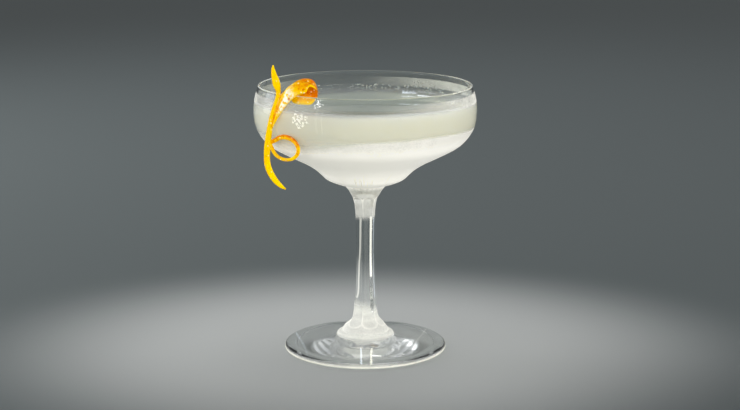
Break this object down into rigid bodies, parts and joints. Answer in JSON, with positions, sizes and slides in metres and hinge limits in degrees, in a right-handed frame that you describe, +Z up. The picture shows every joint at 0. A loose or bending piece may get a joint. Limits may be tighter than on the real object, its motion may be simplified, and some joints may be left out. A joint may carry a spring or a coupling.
{
  "type": "cocktail in a coupe glass",
  "caption": "Pale cloudy cocktail in a wide coupe with a panelled stem and a broad foot, with a twist of orange peel hooked over the rim and curling down outside.",
  "frame": {"origin": "middle of the foot's underside, on the surface that the glass stands on", "axes": "+Z up the stem's axis to the rim; the peel hangs at the front left, towards -X and -Y"},
  "size_m": [0.097, 0.097, 0.1301],
  "materials": {
    "clear_glass": "clear and polished, misted with condensation low on the bowl and at both ends of the stem",
    "cloudy_drink": "wet and cloudy",
    "orange_peel": "waxy and pored outside, paler pith inside"
  },
  "bodies": {
    "root": {"glass": "clear_glass", "drink": "cloudy_drink", "orange_twist": "orange_peel"}
  },
  "joints": []
}
